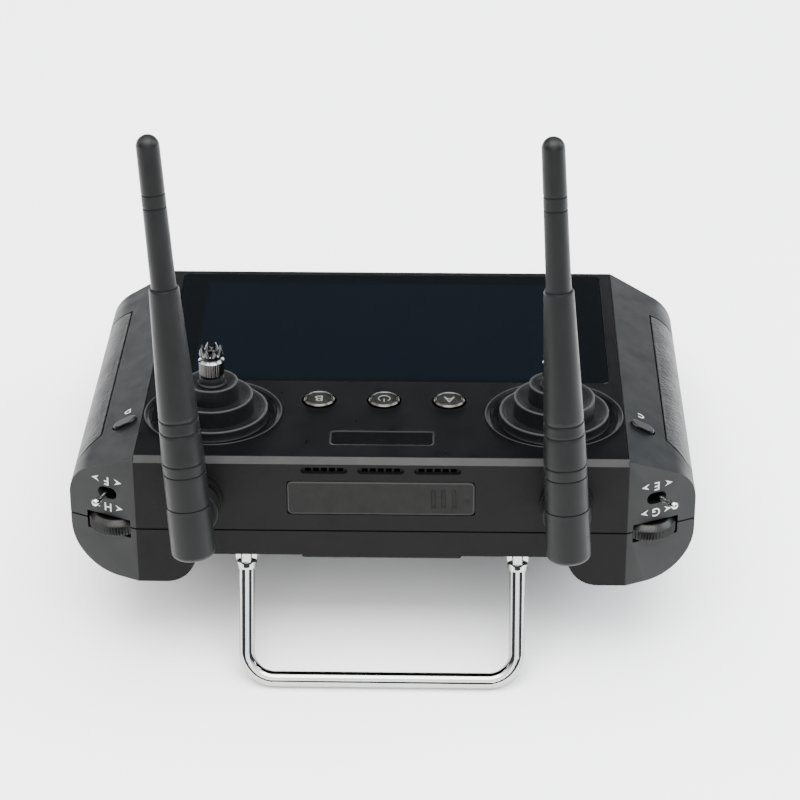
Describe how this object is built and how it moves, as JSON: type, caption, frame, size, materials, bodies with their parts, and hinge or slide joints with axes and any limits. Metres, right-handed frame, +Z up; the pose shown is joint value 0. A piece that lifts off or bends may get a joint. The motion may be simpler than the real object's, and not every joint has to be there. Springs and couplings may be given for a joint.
{
  "type": "radio transmitter controller",
  "caption": "Hand-held remote controller with a wide screen, thumb sticks, keys, toggles, dials, hinged antennas and a fold-out chrome stand handle.",
  "frame": {"origin": "centre of the standing object's footprint box, on the table it stands on", "axes": "+X to the right seen from the antenna side, +Y away from the antenna side towards the pilot, +Z up; the case leans on its folded-out handle"},
  "size_m": [0.19, 0.1546, 0.1775],
  "materials": {
    "case_plastic": "fine matte texture",
    "deck_plastic": "satin",
    "screen_glass": "gloss",
    "lcd": "gloss",
    "soft_rubber": "leather-like grain",
    "boot_rubber": "matte",
    "antenna_rubber": "satin",
    "antenna_plastic": "satin",
    "chrome": "polished",
    "knob_metal": "dark anodised, polished edges",
    "key_metal": "satin",
    "key_plastic": "satin",
    "steel": "plated",
    "gimbal_plastic": "moulded nylon",
    "board": "solder mask",
    "battery_wrap": "shrink wrap",
    "gloss_insert": "gloss"
  },
  "bodies": {
    "case": {"upper_shell": "case_plastic", "lower_shell": "case_plastic", "face_plate": "deck_plastic", "screen_glass": "screen_glass", "lcd_panel": "lcd", "lcd_tray": "steel", "nameplate_insert": "gloss_insert", "port_block": "gimbal_plastic", "vent_mesh": "gimbal_plastic", "grip_left": "soft_rubber", "grip_right": "soft_rubber", "back_plate": "case_plastic", "battery_pack": "battery_wrap", "main_board": "board", "rf_shield": "steel", "key_board": "board", "key_switches": "gimbal_plastic", "case_screws": "steel", "handle_brackets": "chrome", "handle_pins": "steel", "side_key_boards": "board", "stick_bezel_left": "deck_plastic", "gimbal_base_left": "gimbal_plastic", "stick_boot_left": "boot_rubber", "toggle_body_left": "gimbal_plastic", "dial_pot_left": "gimbal_plastic", "stick_bezel_right": "deck_plastic", "gimbal_base_right": "gimbal_plastic", "stick_boot_right": "boot_rubber", "toggle_body_right": "gimbal_plastic", "dial_pot_right": "gimbal_plastic"},
    "handle": {"handle": "chrome"},
    "port_door": {"port_door": "soft_rubber"},
    "gimbal_left": {"gimbal_yoke_left": "gimbal_plastic"},
    "stick_left": {"stick_shaft_left": "steel", "stick_knob_left": "knob_metal"},
    "antenna_swivel_left": {"antenna_collar_left": "antenna_plastic"},
    "antenna_left": {"antenna_barrel_left": "antenna_plastic", "antenna_sleeve_left": "antenna_rubber", "antenna_tip_left": "antenna_rubber"},
    "dial_left": {"dial_wheel_left": "key_plastic"},
    "toggle_left": {"toggle_lever_left": "chrome"},
    "gimbal_right": {"gimbal_yoke_right": "gimbal_plastic"},
    "stick_right": {"stick_shaft_right": "steel", "stick_knob_right": "knob_metal"},
    "antenna_swivel_right": {"antenna_collar_right": "antenna_plastic"},
    "antenna_right": {"antenna_barrel_right": "antenna_plastic", "antenna_sleeve_right": "antenna_rubber", "antenna_tip_right": "antenna_rubber"},
    "dial_right": {"dial_wheel_right": "key_plastic"},
    "toggle_right": {"toggle_lever_right": "chrome"},
    "button_b": {"button_b_cap": "key_plastic", "button_b_ring": "key_metal"},
    "button_power": {"button_power_cap": "key_plastic", "button_power_ring": "key_metal"},
    "button_a": {"button_a_cap": "key_plastic", "button_a_ring": "key_metal"},
    "button_c": {"button_c": "key_plastic"},
    "button_d": {"button_d": "key_plastic"}
  },
  "joints": [
    {"name": "handle_fold", "type": "hinge", "parent": "case", "child": "handle", "pos_m": [0, -0.05035, 0.03462], "axis": [1, 0, 0], "range_deg": [0, 108]},
    {"name": "port_door_hinge", "type": "hinge", "parent": "case", "child": "port_door", "pos_m": [-0.02747, -0.05145, 0.05948], "axis": [0, -0.2498, -0.9683], "range_deg": [0, 100]},
    {"name": "stick_left_fore_aft", "type": "hinge", "parent": "case", "child": "gimbal_left", "pos_m": [-0.0522, -0.02267, 0.05743], "axis": [1, 0, 0], "range_deg": [-25, 25], "stiffness_Nm_per_rad": 0.03, "deforming": ["stick_boot_left"]},
    {"name": "stick_left_side", "type": "hinge", "parent": "gimbal_left", "child": "stick_left", "pos_m": [-0.0522, -0.02267, 0.05743], "axis": [0, 0.9683, -0.2498], "range_deg": [-25, 25], "stiffness_Nm_per_rad": 0.03, "deforming": ["stick_boot_left"]},
    {"name": "antenna_left_swivel", "type": "hinge", "parent": "case", "child": "antenna_swivel_left", "pos_m": [-0.0554, -0.05496, 0.05956], "axis": [0, 0.9683, -0.2498], "range_deg": [-80, 50]},
    {"name": "antenna_left_fold", "type": "hinge", "parent": "antenna_swivel_left", "child": "antenna_left", "pos_m": [-0.0554, -0.06881, 0.06314], "axis": [0.9974, 0.0179, 0.0692], "range_deg": [0, 95]},
    {"name": "dial_left_turn", "type": "hinge", "parent": "case", "child": "dial_left", "pos_m": [-0.08059, -0.04655, 0.04578], "axis": [0, 0.2498, 0.9683], "range_deg": [-40, 40], "stiffness_Nm_per_rad": 0.003},
    {"name": "toggle_left_flick", "type": "hinge", "parent": "case", "child": "toggle_left", "pos_m": [-0.08101, -0.04472, 0.05651], "axis": [0, 0.2498, 0.9683], "range_deg": [-15, 15]},
    {"name": "stick_right_fore_aft", "type": "hinge", "parent": "case", "child": "gimbal_right", "pos_m": [0.0522, -0.02267, 0.05743], "axis": [1, 0, 0], "range_deg": [-25, 25], "stiffness_Nm_per_rad": 0.03, "deforming": ["stick_boot_right"]},
    {"name": "stick_right_side", "type": "hinge", "parent": "gimbal_right", "child": "stick_right", "pos_m": [0.0522, -0.02267, 0.05743], "axis": [0, 0.9683, -0.2498], "range_deg": [-25, 25], "stiffness_Nm_per_rad": 0.03, "deforming": ["stick_boot_right"]},
    {"name": "antenna_right_swivel", "type": "hinge", "parent": "case", "child": "antenna_swivel_right", "pos_m": [0.0554, -0.05496, 0.05956], "axis": [0, 0.9683, -0.2498], "range_deg": [-50, 80]},
    {"name": "antenna_right_fold", "type": "hinge", "parent": "antenna_swivel_right", "child": "antenna_right", "pos_m": [0.0554, -0.06881, 0.06314], "axis": [0.9983, 0.0144, 0.0557], "range_deg": [0, 95]},
    {"name": "dial_right_turn", "type": "hinge", "parent": "case", "child": "dial_right", "pos_m": [0.08059, -0.04655, 0.04578], "axis": [0, 0.2498, 0.9683], "range_deg": [-40, 40], "stiffness_Nm_per_rad": 0.003},
    {"name": "toggle_right_flick", "type": "hinge", "parent": "case", "child": "toggle_right", "pos_m": [0.08101, -0.04472, 0.05651], "axis": [0, 0.2498, 0.9683], "range_deg": [-29, 1]},
    {"name": "button_b_press", "type": "slide", "parent": "case", "child": "button_b", "axis": [0, -0.2498, -0.9683], "range_m": [0, 0.0008], "stiffness_N_per_m": 1200, "springref_m": -0.0004},
    {"name": "button_power_press", "type": "slide", "parent": "case", "child": "button_power", "axis": [0, -0.2498, -0.9683], "range_m": [0, 0.0008], "stiffness_N_per_m": 1200, "springref_m": -0.0004},
    {"name": "button_a_press", "type": "slide", "parent": "case", "child": "button_a", "axis": [0, -0.2498, -0.9683], "range_m": [0, 0.0008], "stiffness_N_per_m": 1200, "springref_m": -0.0004},
    {"name": "button_c_press", "type": "slide", "parent": "case", "child": "button_c", "axis": [-0.4462, -0.2236, -0.8666], "range_m": [0, 0.0007], "stiffness_N_per_m": 1200, "springref_m": -0.0004},
    {"name": "button_d_press", "type": "slide", "parent": "case", "child": "button_d", "axis": [0.4462, -0.2236, -0.8666], "range_m": [0, 0.0007], "stiffness_N_per_m": 1200, "springref_m": -0.0004}
  ]
}
